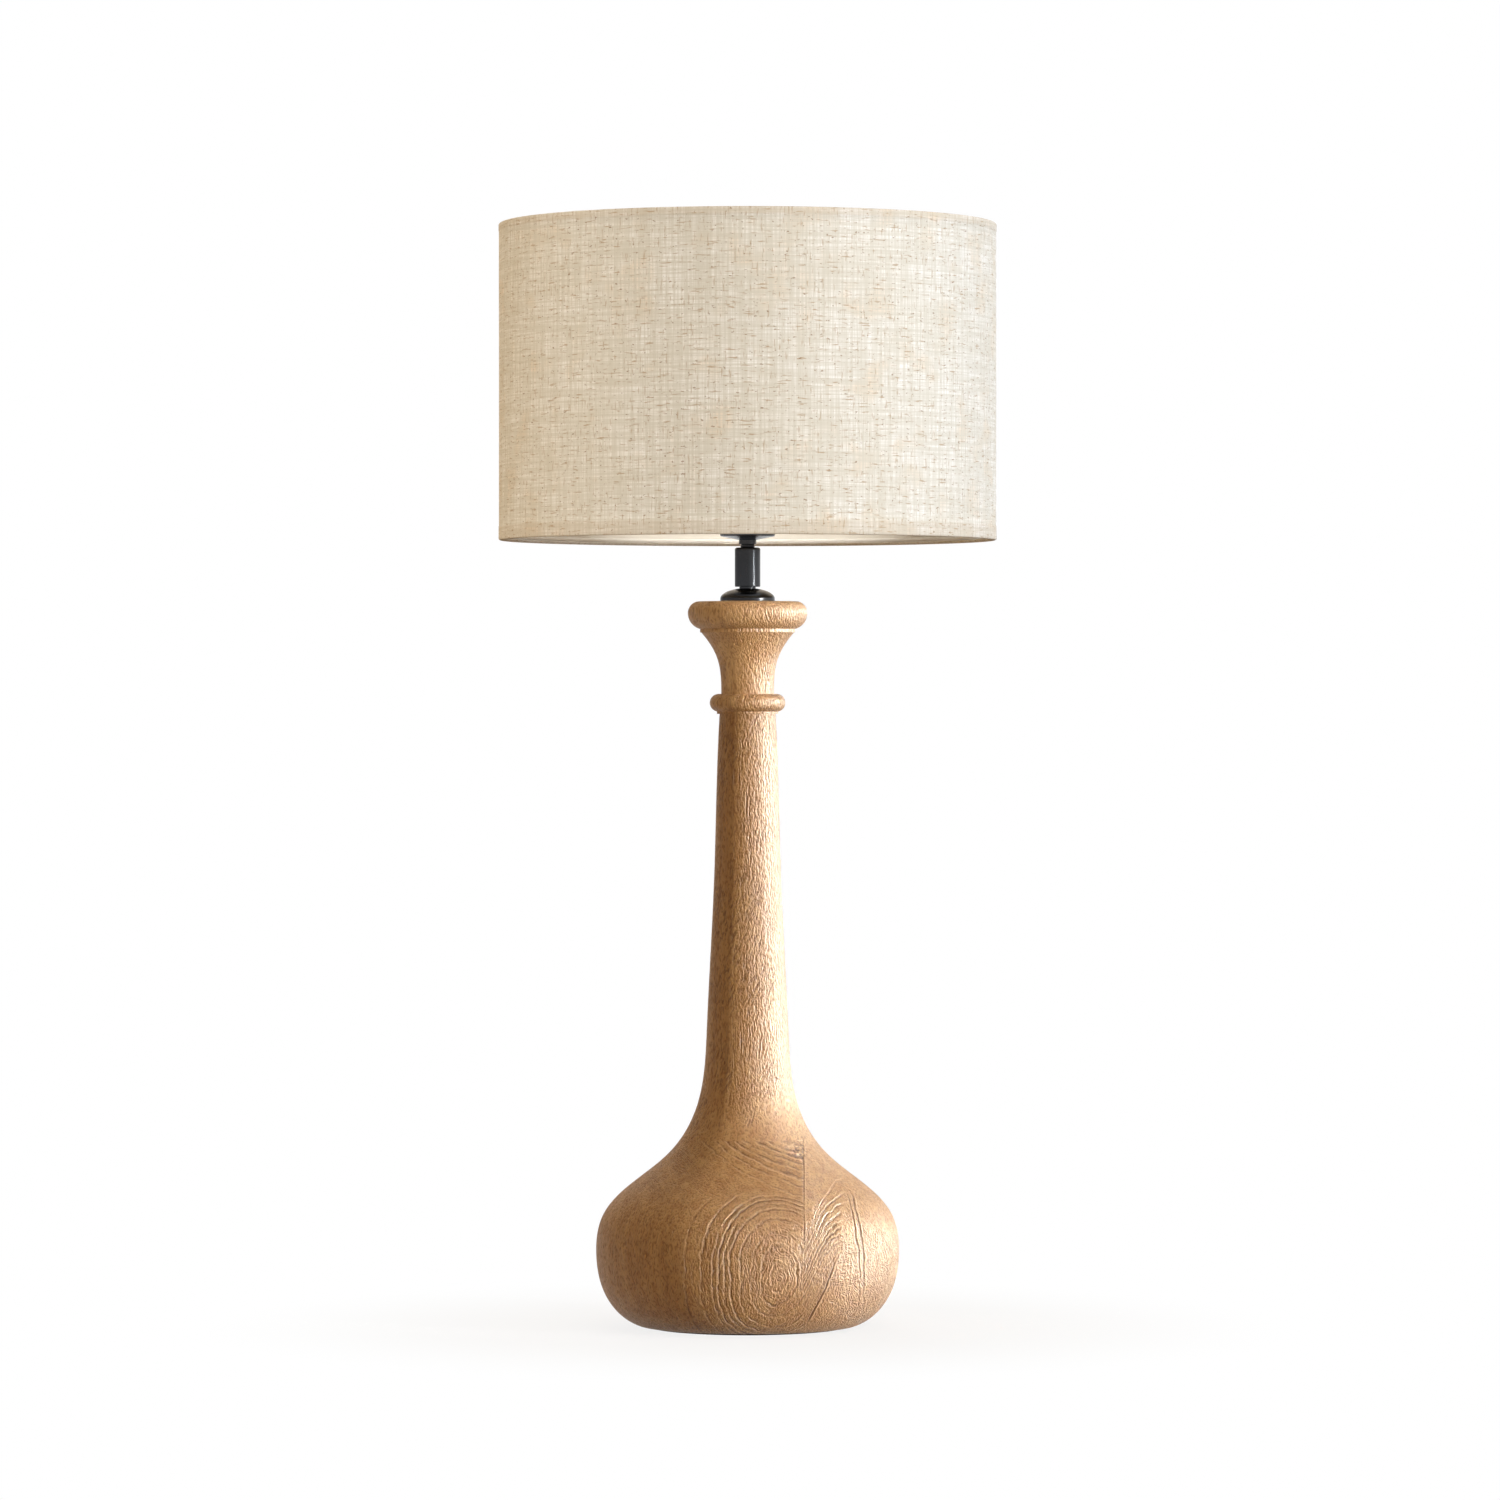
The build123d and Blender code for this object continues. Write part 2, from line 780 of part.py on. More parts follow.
# Fitter ring, a flat washer that rests on the lampholder's flange
with BuildPart() as fitter_ring:
    with BuildSketch(Plane.XY.offset(fitter_z)):
        Circle(fitter_radius)
        Circle(fitter_bore_radius, mode=Mode.SUBTRACT)
    extrude(amount=fitter_thickness)
write(fitter_ring, "fitter_ring")
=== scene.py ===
from math import cos, pi, radians, sin, tau

import bpy
import numpy as np
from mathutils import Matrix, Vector


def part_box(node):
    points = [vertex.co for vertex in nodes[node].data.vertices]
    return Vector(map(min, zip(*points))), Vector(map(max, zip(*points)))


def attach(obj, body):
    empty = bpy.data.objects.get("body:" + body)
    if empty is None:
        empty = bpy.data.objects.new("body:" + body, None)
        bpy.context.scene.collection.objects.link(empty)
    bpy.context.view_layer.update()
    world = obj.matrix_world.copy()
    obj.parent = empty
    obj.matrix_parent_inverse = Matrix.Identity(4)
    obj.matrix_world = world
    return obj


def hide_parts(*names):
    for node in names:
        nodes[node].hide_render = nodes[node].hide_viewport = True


# A table lamp: its finishes, its linen cover, its felt and its threads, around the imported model.
# Metres, +Z up. The front of the lamp faces -Y.
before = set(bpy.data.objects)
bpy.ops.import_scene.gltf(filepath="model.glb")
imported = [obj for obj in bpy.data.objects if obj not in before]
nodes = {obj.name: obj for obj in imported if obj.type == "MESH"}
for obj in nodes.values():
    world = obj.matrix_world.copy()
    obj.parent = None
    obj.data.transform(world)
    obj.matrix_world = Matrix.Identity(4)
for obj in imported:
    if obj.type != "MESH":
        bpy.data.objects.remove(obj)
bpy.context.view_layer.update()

MM = 0.001

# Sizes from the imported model, and of the cloth that covers the shade. Turns are in radians.
cover_low, cover_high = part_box("shade_cover")
ring_low, ring_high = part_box("bottom_ring")
shade_radius = cover_high.x
shade_middle = (cover_low.z + cover_high.z) / 2
wire_radius = (ring_high.z - ring_low.z) / 2
wire_ring_radius = ring_high.x - wire_radius
wire_height = ring_low.z + wire_radius
cloth = 0.5 * MM
bottom_hem = 9.5 * MM
top_hem = 5.0 * MM
hem_step = 0.25 * MM
lap = 14 * MM
lap_gap = 0.1 * MM
lap_rise_turn = 0.04
slack_depth = 0.08 * MM
hem_corner = 0.8 * MM
tuck_end = radians(205)
seam_turn = radians(68)
arm_turns = [radians(turn) for turn in (90, 210, 330)]
notch_half = radians(1.2)

# The base's wood, in millimetres: the seam between its boards, the height where the slanting lines
# start, the middles of the eye, the slanting rings, the arches and the patch of pores, and the bold
# lines of each field, with their strengths
seam_x = 38.8
slant_low = 98.0
eye_middle = (22.0, -103.0, 43.0)
slant_middle = (70.0, -60.0, 250.0)
arch_middle = (67.0, 0.0, 0.0)
arch_steepness = 0.046
pore_middle = (36.6, -45.0, 126.0)
eye_rings = {5: 0.3, 12: 0.4, 19: 0.35, 27: 0.5, 34: 0.8, 38: 0.5, 42: 1.0, 46: 0.7, 54: 0.6, 65: 0.5}
slant_lines = {
    172: 0.5, 178: 0.7, 183: 0.9, 189: 0.6, 194: 0.8, 199: 1.0,
    205: 0.7, 210: 0.8, 216: 0.9, 223: 0.6, 232: 0.5,
}
arch_lines = {57: 0.4, 66: 0.6, 71: 0.5, 75: 1.0, 79: 0.8, 84: 1.0, 90: 1.0, 96: 0.8, 104: 0.6}
split_lines = {77.4: 0.9, 80.8: 1.0}
crack_line = {38.3: 1.0}
seam_line = {seam_x: 0.7}

# The middle of the neck's growth rings, in millimetres
neck_heart = (62.0, -70.0, 300.0)


# Shader helpers
def new_material(name):
    """A material with its node tree and its surface shader."""
    material = bpy.data.materials.new(name)
    material.use_nodes = True
    tree = material.node_tree
    return material, tree, tree.nodes["Principled BSDF"]


def fill(tree, made, inputs):
    """Sets a node's inputs: a socket is linked, and a plain value is set on the socket."""
    for key, value in inputs.items():
        if isinstance(value, bpy.types.NodeSocket):
            tree.links.new(value, made.inputs[key])
        else:
            made.inputs[key].default_value = value


def node(tree, kind, inputs=None, **options):
    """Adds a shader node with its options and inputs."""
    made = tree.nodes.new("ShaderNode" + kind)
    for key, value in options.items():
        setattr(made, key, value)
    fill(tree, made, inputs or {})
    return made


def calc(tree, operation, *values, clamp=False):
    """One sum on numbers."""
    made = node(tree, "Math", dict(enumerate(values)), operation=operation, use_clamp=clamp)
    return made.outputs["Value"]


def vector(tree, operation, *values):
    """One sum on vectors."""
    made = node(tree, "VectorMath", dict(enumerate(values)), operation=operation)
    return made.outputs["Vector"]


def noise(tree, place, scale=1.0, detail=2.0, roughness=0.5, flat=False):
    """Smooth noise from 0 to 1 in the place's own unit, in the plane or in space."""
    made = node(
        tree,
        "TexNoise",
        {"Vector": place, "Scale": scale, "Detail": detail, "Roughness": roughness},
        noise_dimensions="2D" if flat else "3D",
    )
    return made.outputs["Fac"]


def drawn_noise(tree, place, scale, detail=2.0, roughness=0.5):
    """Smooth noise with a scale of its own along each axis."""
    return noise(tree, vector(tree, "MULTIPLY", place, scale), 1.0, detail, roughness)


def band(tree, value, low, high):
    """A smooth step that is 0 at low and beyond it, and 1 at high and beyond. Low may be the larger."""
    made = node(
        tree,
        "MapRange",
        {"Value": value, "From Min": low, "From Max": high},
        interpolation_type="SMOOTHSTEP",
    )
    return made.outputs["Result"]


def spread(tree, value, low, high):
    """A value from 0 to 1, drawn out from low to high."""
    made = node(tree, "MapRange", {"Value": value, "To Min": low, "To Max": high})
    return made.outputs["Result"]


def blend(tree, share, first, second):
    """The first colour where the share is 0, and the second where it is 1."""
    made = node(tree, "Mix", {0: share, 6: first, 7: second}, data_type="RGBA")
    return made.outputs[2]


def choose(tree, share, first, second):
    """The first number where the share is 0, and the second where it is 1."""
    made = node(tree, "Mix", {0: share, 2: first, 3: second}, data_type="FLOAT")
    return made.outputs[0]


def bump(tree, height, depth):
    """The surface's normal after a relief of this depth."""
    made = node(tree, "Bump", {"Height": height, "Distance": depth, "Strength": 1.0})
    return made.outputs["Normal"]


def srgb(red, green, blue):
    """A colour read from 0 to 255 as a picture shows it, for a shader."""
    shown = [channel / 255 for channel in (red, green, blue)]
    linear = [c / 12.92 if c <= 0.04045 else ((c + 0.055) / 1.055) ** 2.4 for c in shown]
    return (*linear, 1.0)


def object_place(tree):
    """The place on the object, in millimetres."""
    place = node(tree, "TexCoord").outputs["Object"]
    return vector(tree, "MULTIPLY", place, (1 / MM,) * 3)


def weave_place(tree):
    """The place on the cloth, in millimetres along its weft and its warp."""
    place = node(tree, "UVMap", uv_map="weave").outputs["UV"]
    return vector(tree, "MULTIPLY", place, (1 / MM,) * 3)


# Wood
def wandering(tree, place, scale, reach):
    """The place, pushed about by slow noise, up to this reach."""
    drift = node(tree, "TexNoise", {"Vector": place, "Scale": scale, "Detail": 2.0})
    push = vector(tree, "MULTIPLY_ADD", drift.outputs["Color"], (2 * reach,) * 3, (-reach,) * 3)
    return vector(tree, "ADD", place, push)


def rings(tree, place, middle, scale):
    """The distance from a middle in millimetres, with each axis drawn out by its own scale."""
    away = vector(tree, "SUBTRACT", place, middle)
    drawn = vector(tree, "MULTIPLY", away, scale)
    return node(tree, "VectorMath", {0: drawn}, operation="LENGTH").outputs["Value"]


def arches(tree, place, middle, steepness):
    """Arches over each other: the height, plus the square of the distance from their middle line."""
    away = vector(tree, "SUBTRACT", place, middle)
    parts = node(tree, "SeparateXYZ", {"Vector": away}).outputs
    across = calc(tree, "MULTIPLY", parts["X"], parts["X"])
    return calc(tree, "MULTIPLY_ADD", across, steepness, parts["Z"])


def growth_lines(tree, field, spacing):
    """Pairs of fine grooves at even steps of a field, each of its own strength, and each ring's tone."""
    step = calc(tree, "DIVIDE", field, spacing)
    which = calc(tree, "ROUND", step)
    off = calc(tree, "ABSOLUTE", calc(tree, "SUBTRACT", step, which))
    off = calc(tree, "MULTIPLY", off, spacing)
    start, full, fading, end = 0.1, 0.6, 0.8, 1.5
    beyond = band(tree, off, fading, end)
    pair = calc(
        tree, "MULTIPLY", band(tree, off, start, full), calc(tree, "SUBTRACT", 1.0, beyond)
    )
    strength = node(tree, "TexWhiteNoise", {"W": which}, noise_dimensions="1D").outputs["Value"]
    pair = calc(tree, "MULTIPLY", pair, spread(tree, strength, 0.3, 1.0))
    tone = node(tree, "TexWhiteNoise", {"W": calc(tree, "FLOOR", step)}, noise_dimensions="1D")
    return pair, tone.outputs["Value"]


def bold_lines(tree, field, lines, half_width):
    """The relief where a field has these values: a groove with a ridge beside it, each line of its own
    strength."""
    core = 0.3 * half_width
    relief = 0.0
    for place, strength in lines.items():
        off = calc(tree, "SUBTRACT", field, place)
        groove = band(tree, calc(tree, "ABSOLUTE", off), half_width, core)
        off = calc(tree, "SUBTRACT", off, 2 * half_width)
        ridge = band(tree, calc(tree, "ABSOLUTE", off), half_width, core)
        line = calc(tree, "SUBTRACT", ridge, groove)
        relief = calc(tree, "MULTIPLY_ADD", line, strength, relief)
    return relief


def base_grain(tree, place):
    """The relief of the base, glued up of boards: an eye on the front of the belly, slanting lines on
    the shoulder, and arches with a long split on the far side of the seam. And each ring's tone."""
    bent = wandering(tree, place, scale=0.03, reach=4.0)
    bent = wandering(tree, bent, scale=0.16, reach=1.4)
    parts = node(tree, "SeparateXYZ", {"Vector": place}).outputs
    wavy = node(tree, "SeparateXYZ", {"Vector": bent}).outputs
    height = parts["Z"]
    beyond = calc(tree, "GREATER_THAN", parts["X"], seam_x)
    above = calc(tree, "GREATER_THAN", wavy["Z"], slant_low)

    # The eye's rings are tall near its middle, and rounder further out
    squeeze, squeeze_growth = 0.42, 0.007
    rise = calc(tree, "SUBTRACT", wavy["Z"], eye_middle[2])
    squeezed = calc(tree, "MULTIPLY_ADD", calc(tree, "ABSOLUTE", rise), squeeze_growth, squeeze)
    drawn = node(
        tree,
        "CombineXYZ",
        {"X": wavy["X"], "Y": wavy["Y"], "Z": calc(tree, "MULTIPLY", rise, squeezed)},
    ).outputs["Vector"]
    eye = rings(tree, drawn, (eye_middle[0], eye_middle[1], 0.0), scale=(1.0, 0.85, 1.0))
    slant = rings(tree, bent, slant_middle, scale=(1.5, 0.6, 1.5))
    arch = arches(tree, bent, arch_middle, arch_steepness)

    # Fine lines at uneven steps, and the bold ones, both broken up by slow noise
    field = choose(tree, beyond, choose(tree, above, eye, slant), arch)
    unevenness = 18.0
    uneven = calc(tree, "MULTIPLY_ADD", noise(tree, place, 0.06), unevenness, field)
    fine, tone = growth_lines(tree, uneven, spacing=3.6)
    broken = band(tree, noise(tree, place, 0.13), 0.34, 0.54)
    fine = calc(tree, "MULTIPLY", fine, spread(tree, broken, 0.0, 0.45))
    ring = bold_lines(tree, eye, eye_rings, half_width=0.8)
    fan = bold_lines(tree, slant, slant_lines, half_width=1.0)
    hoop = bold_lines(tree, arch, arch_lines, half_width=0.9)
    hoop = calc(tree, "MULTIPLY", hoop, band(tree, parts["X"], 72.0, 58.0))
    bold = choose(tree, beyond, choose(tree, above, ring, fan), hoop)
    bold = calc(tree, "MULTIPLY", bold, spread(tree, broken, 0.3, 1.0))
    relief = calc(tree, "SUBTRACT", bold, fine)

    # A long split that leans in towards its top, and a crack that leans out from the seam
    split_foot, split_bend, crack_lean = 25.0, 0.0015, 0.41
    front = calc(tree, "LESS_THAN", parts["Y"], 0.0)
    rise = calc(tree, "SUBTRACT", height, split_foot)
    lean = calc(tree, "MULTIPLY", calc(tree, "MULTIPLY", rise, rise), split_bend)
    split = bold_lines(tree, calc(tree, "ADD", wavy["X"], lean), split_lines, half_width=0.7)
    split = calc(tree, "MULTIPLY", split, spread(tree, band(tree, height, 36.0, 56.0), 0.35, 1.0))
    split = calc(tree, "MULTIPLY", split, band(tree, height, 8.0, 24.0))
    split = calc(tree, "MULTIPLY", split, band(tree, height, 100.0, 90.0))
    leaning = calc(tree, "MULTIPLY_ADD", height, -crack_lean, wavy["X"])
    crack = bold_lines(tree, leaning, crack_line, half_width=0.7)
    crack = calc(tree, "MULTIPLY", crack, band(tree, height, 9.0, 15.0))
    crack = calc(tree, "MULTIPLY", crack, band(tree, height, 58.0, 48.0))
    relief = calc(tree, "MULTIPLY_ADD", calc(tree, "ADD", split, crack), front, relief)

    # The seam between the boards, and a patch of open pores near its top
    seam = bold_lines(tree, parts["X"], seam_line, half_width=0.6)
    seam = calc(tree, "MULTIPLY", seam, spread(tree, band(tree, height, 62.0, 84.0), 0.2, 1.0))
    relief = calc(tree, "MULTIPLY_ADD", seam, spread(tree, broken, 0.4, 1.0), relief)
    near = rings(tree, place, pore_middle, scale=(1.0, 0.2, 1.0))
    pores = band(tree, noise(tree, place, 0.42, 0.0), 0.54, 0.6)
    pores = calc(tree, "MULTIPLY", pores, band(tree, near, 6.5, 4.5))
    return calc(tree, "SUBTRACT", relief, calc(tree, "MULTIPLY", pores, front)), tone


def neck_grain(tree, place):
    """The relief of the neck: faint lines up the wood, and slanting strokes in patches. And its tone."""
    stroke_lean = radians(-30)
    bent = wandering(tree, place, scale=0.03, reach=3.0)
    field = rings(tree, bent, neck_heart, scale=(1.0, 1.0, 0.02))
    groove, tone = growth_lines(tree, field, spacing=5.2)
    groove = calc(tree, "MULTIPLY", groove, band(tree, noise(tree, place, 0.05), 0.48, 0.66))
    leaning = node(
        tree, "VectorRotate", {"Vector": place, "Angle": stroke_lean}, rotation_type="Y_AXIS"
    ).outputs["Vector"]
    strokes = band(tree, drawn_noise(tree, leaning, (0.62, 0.62, 0.12)), 0.52, 0.66)
    patches = band(tree, noise(tree, place, 0.02, 1.0), 0.46, 0.6)
    strokes = calc(tree, "MULTIPLY", strokes, spread(tree, patches, 0.0, 0.65))
    groove = calc(tree, "MAXIMUM", calc(tree, "MULTIPLY", groove, 0.55), strokes)
    return calc(tree, "MULTIPLY", groove, -1.0), tone


def wood(name, grain, pit_scale, pit_depth):
    """Pale brushed hardwood: its grain's relief, fibres up the wood, and pits all over."""
    material, tree, surface = new_material(name)
    place = object_place(tree)
    relief, tone = grain(tree, place)
    fibre = drawn_noise(tree, place, (1.0, 1.0, 0.05), 3.0, 0.6)
    streak = drawn_noise(tree, place, (0.16, 0.16, 0.012), 3.0, 0.55)
    pitted = vector(tree, "MULTIPLY", place, pit_scale)
    coarse = noise(tree, pitted, 1.0, 1.0)
    fine = noise(tree, pitted, 2.4, 1.0)
    pits = band(tree, coarse, 0.5, 0.64)
    specks = band(tree, drawn_noise(tree, place, (0.5, 0.5, 0.3)), 0.72, 0.8)
    cloud = noise(tree, place, 0.012)

    pale, honey, ridge_pale = srgb(222, 181, 128), srgb(210, 167, 113), srgb(238, 204, 158)
    streak_brown, ring_brown = srgb(198, 153, 101), srgb(184, 137, 88)
    fibre_brown, pit_brown = srgb(188, 141, 93), srgb(136, 92, 50)
    groove_brown, speck_brown = srgb(112, 72, 38), srgb(92, 58, 34)
    colour = blend(tree, cloud, pale, honey)
    colour = blend(tree, band(tree, streak, 0.35, 0.65), streak_brown, colour)
    colour = blend(tree, calc(tree, "MULTIPLY", tone, 0.2), colour, ring_brown)
    colour = blend(tree, spread(tree, fibre, 0.0, 0.4), colour, fibre_brown)
    colour = blend(tree, calc(tree, "MULTIPLY", pits, 0.5), colour, pit_brown)
    colour = blend(tree, calc(tree, "MULTIPLY", relief, -0.75, clamp=True), colour, groove_brown)
    colour = blend(tree, calc(tree, "MULTIPLY", relief, 0.6, clamp=True), colour, ridge_pale)
    colour = blend(tree, calc(tree, "MULTIPLY", specks, 0.7), colour, speck_brown)

    # The relief adds up in millimetres
    height = calc(tree, "MULTIPLY", coarse, -pit_depth)
    for part, share in ((fine, -0.4), (relief, 0.9), (fibre, 0.3), (specks, -0.4)):
        height = calc(tree, "MULTIPLY_ADD", part, share, height)
    fill(
        tree,
        surface,
        {
            "Base Color": colour,
            "Roughness": spread(tree, pits, 0.47, 0.6),
            "Specular IOR Level": 0.4,
            "Normal": bump(tree, height, 1.0 * MM),
        },
    )
    return material


# Linen
def linen():
    """Plain-woven linen: uneven warp and weft, brown slubs both ways, painted shade in the gaps of the
    weave, and doubled hems with a painted shade.
    """
    material, tree, surface = new_material("linen")
    place = weave_place(tree)
    parts = node(tree, "SeparateXYZ", {"Vector": place})
    weft, warp = parts.outputs["X"], parts.outputs["Y"]
    thread_pitch = 0.8
    thread_relief = 0.035 * MM

    def threads(across, along, seed):
        """Noise that is drawn out along the weft or the warp, in features per millimetre."""
        stretched = vector(tree, "MULTIPLY_ADD", place, (across, along, 1), (seed, seed, 0))
        return noise(tree, stretched, 1.0, 2.0, 0.6, flat=True)

    upright = threads(0.9, 0.02, 3.0)
    level = threads(0.02, 0.9, 41.0)
    upright_wide = threads(0.38, 0.012, 57.0)
    level_wide = threads(0.014, 0.38, 71.0)
    slub_level = band(tree, threads(0.085, 0.66, 17.0), 0.63, 0.72)
    slub_upright = band(tree, threads(0.66, 0.1, 87.0), 0.64, 0.73)
    knots = band(tree, threads(0.24, 0.5, 133.0), 0.68, 0.75)
    body = object_place(tree)
    cloud = noise(tree, body, 0.025)
    warmth = noise(tree, vector(tree, "ADD", body, (311.0, 47.0, 83.0)), 0.035)
    waves = [
        calc(tree, "SINE", calc(tree, "MULTIPLY", side, tau / thread_pitch)) for side in (weft, warp)
    ]
    weave = calc(tree, "MULTIPLY_ADD", calc(tree, "MULTIPLY", *waves), 0.5, 0.5)

    pale, bright, warm = srgb(230, 226, 216), srgb(238, 236, 230), srgb(226, 211, 190)
    # The gaps' and the hems' colours on the next line are painted shade
    thread_shade, painted_gap_shade, painted_hem_shade = srgb(200, 194, 177), srgb(210, 205, 188), srgb(176, 148, 110)
    colour = blend(tree, band(tree, cloud, 0.35, 0.65), pale, bright)
    colour = blend(tree, band(tree, warmth, 0.52, 0.72), colour, warm)
    for lines, share in ((upright, 0.55), (level, 0.55), (upright_wide, 0.5), (level_wide, 0.5)):
        shaded = calc(tree, "MULTIPLY", band(tree, lines, 0.6, 0.38), share)
        colour = blend(tree, shaded, colour, thread_shade)
    slubs = (
        (slub_level, 0.7, srgb(163, 133, 97)),
        (slub_upright, 0.6, srgb(166, 138, 104)),
        (knots, 0.75, srgb(130, 98, 64)),
    )
    for slub, share, brown in slubs:
        colour = blend(tree, calc(tree, "MULTIPLY", slub, share), colour, brown)
    # Painted shade in the gaps of the weave, between the threads
    colour = blend(tree, spread(tree, weave, 0.75, 1.0), painted_gap_shade, colour)

    # The hems are doubled, and painted a little darker: a painted shade for the light that shines less
    # through two layers of cloth
    upward = node(tree, "SeparateXYZ", {"Vector": body}).outputs["Z"]
    upward = calc(tree, "ADD", upward, spread(tree, threads(0.05, 0.05, 401.0), -1.5, 1.5))
    low_hem = (cover_low.z + bottom_hem) / MM
    high_hem = (cover_high.z - top_hem) / MM
    hem = calc(
        tree,
        "ADD",
        band(tree, upward, low_hem + 1.0, low_hem - 0.5),
        band(tree, upward, high_hem - 1.0, high_hem + 0.5),
    )
    colour = blend(tree, calc(tree, "MULTIPLY", hem, 0.18), colour, painted_hem_shade)

    height = calc(tree, "MULTIPLY_ADD", weave, 0.6, upright)
    height = calc(tree, "ADD", height, level)
    for slub in (slub_level, slub_upright):
        height = calc(tree, "MULTIPLY_ADD", slub, 0.8, height)
    fill(
        tree,
        surface,
        {
            "Base Color": colour,
            "Roughness": 0.92,
            "Specular IOR Level": 0.08,
            "Sheen Weight": 0.04,
            "Sheen Roughness": 0.5,
            "Normal": bump(tree, height, thread_relief),
        },
    )
    return material


# Metals and plastics
def metal(name, light, dark, roughness, grain=0.4, relief=0.002):
    """A metal whose tone and polish vary a little from place to place."""
    material, tree, surface = new_material(name)
    place = object_place(tree)
    cloud = noise(tree, place, 0.12, 3.0)
    scratch = noise(tree, vector(tree, "MULTIPLY", place, (0.6, 0.6, 6.0)), grain, 3.0, 0.6)
    fill(
        tree,
        surface,
        {
            "Base Color": blend(tree, cloud, dark, light),
            "Metallic": 1.0,
            "Roughness": spread(tree, scratch, roughness * 0.85, roughness * 1.2),
            "Normal": bump(tree, scratch, relief * MM),
        },
    )
    return material


def moulded(name, light, dark, roughness, grain=1.2, relief=0.02):
    """Moulded or painted stuff with a fine grain and a slight change of tone."""
    material, tree, surface = new_material(name)
    place = object_place(tree)
    cloud = noise(tree, place, 0.05, 3.0)
    skin = noise(tree, place, grain)
    fill(
        tree,
        surface,
        {
            "Base Color": blend(tree, cloud, dark, light),
            "Roughness": spread(tree, skin, roughness * 0.85, roughness * 1.15),
            "Normal": bump(tree, skin, relief * MM),
        },
    )
    return material


def felt():
    """Pressed wool: matted fibres of several browns."""
    material, tree, surface = new_material("felt")
    place = object_place(tree)
    drift = node(tree, "TexNoise", {"Vector": place, "Scale": 0.5, "Detail": 2.0})
    tangle = (3, 3, 3)
    bent = vector(tree, "MULTIPLY_ADD", drift.outputs["Color"], tangle, place)
    hairs = drawn_noise(tree, bent, (3.0, 0.7, 3.0), 4.0, 0.7)
    mats = noise(tree, place, 0.2, 3.0)
    colour = blend(tree, hairs, srgb(66, 54, 44), srgb(112, 96, 82))
    colour = blend(tree, calc(tree, "MULTIPLY", mats, 0.5), colour, srgb(78, 64, 52))
    fill(
        tree,
        surface,
        {
            "Base Color": colour,
            "Roughness": 0.97,
            "Sheen Weight": 0.4,
            "Normal": bump(tree, hairs, 0.25 * MM),
        },
    )
    return material


materials = {
    "base_wood": wood("base_wood", base_grain, (0.75, 0.75, 0.34), 1.2),
    "neck_wood": wood("neck_wood", neck_grain, (0.78, 0.78, 0.28), 1.4),
    "linen": linen(),
    "felt": felt(),
    "black_nickel": metal(
        "black_nickel", (0.07, 0.073, 0.078, 1), (0.055, 0.057, 0.061, 1), 0.22, relief=0.0002
    ),
    "zinc": metal("zinc", (0.62, 0.63, 0.64, 1), (0.48, 0.49, 0.52, 1), 0.34, 0.6),
    "brass": metal("brass", (0.78, 0.56, 0.27, 1), (0.58, 0.4, 0.17, 1), 0.28),
    "aluminium": metal("aluminium", (0.74, 0.74, 0.75, 1), (0.6, 0.6, 0.62, 1), 0.3),
    "solder": metal("solder", (0.66, 0.66, 0.66, 1), (0.45, 0.45, 0.46, 1), 0.4, 1.0, 0.05),
    "grommet": moulded("grommet", srgb(44, 43, 42), srgb(32, 31, 31), 0.5, 2.0),
    "holder": moulded("holder", srgb(36, 36, 38), srgb(26, 26, 27), 0.26, 0.8, 0.01),
    "porcelain": moulded("porcelain", srgb(236, 232, 222), srgb(224, 217, 203), 0.16, 0.25, 0.03),
    "liner": moulded("liner", srgb(240, 237, 230), srgb(229, 224, 213), 0.6, 1.6, 0.03),
    "white_wire": moulded("white_wire", srgb(235, 233, 228), srgb(222, 219, 211), 0.4, 0.9, 0.03),
    "bulb_white": moulded("bulb_white", srgb(238, 238, 235), srgb(229, 228, 223), 0.3, 0.6, 0.01),
    "bulb_glass": moulded("bulb_glass", srgb(24, 24, 30), srgb(14, 14, 18), 0.08, 0.3, 0.02),
    "bulb_opal": moulded("bulb_opal", srgb(243, 242, 236), srgb(236, 233, 225), 0.42, 1.4, 0.01),
}
node_finish = {
    "turned_base": "base_wood",
    "turned_neck": "neck_wood",
    "cord_grommet": "grommet",
    "base_washer": "zinc",
    "base_nut": "zinc",
    "dome_cap": "black_nickel",
    "coupling_sleeve": "black_nickel",
    "holder_cup": "black_nickel",
    "holder_core": "porcelain",
    "centre_contact": "brass",
    "terminal_screws": "brass",
    "shade_ring": "holder",
    "shade_liner": "liner",
    "top_ring": "white_wire",
    "bottom_ring": "white_wire",
    "spider_arms": "white_wire",
    "fitter_ring": "white_wire",
    "bulb_tip": "solder",
    "bulb_insulator": "bulb_glass",
    "bulb_housing": "bulb_white",
    "bulb_globe": "bulb_opal",
}
for name, finish in node_finish.items():
    mesh = nodes[name].data
    mesh.materials.clear()
    mesh.materials.append(materials[finish])


# Mesh helpers
crisp_edge = radians(55)
same_radius = 1e-6
rows_per_pitch = 10


def grid_faces(rows, columns, closed=False):
    """The quads between the points of a grid, given row by row. A closed grid joins up both ways."""
    faces = []
    for row in range(rows if closed else rows - 1):
        for column in range(columns if closed else columns - 1):
            here, after = row * columns, (row + 1) % rows * columns
            beside = (column + 1) % columns
            faces.append((here + column, here + beside, after + beside, after + column))
    return faces


def add_piece(name, points, faces, body, finish):
    """A smooth mesh that rides on a body."""
    mesh = bpy.data.meshes.new(name)
    mesh.from_pydata([tuple(point) for point in points], [], faces)
    mesh.materials.append(materials[finish])
    mesh.shade_smooth()
    mesh.set_sharp_from_angle(angle=crisp_edge)
    piece = bpy.data.objects.new(name, mesh)
    bpy.context.scene.collection.objects.link(piece)
    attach(piece, body)
    return piece


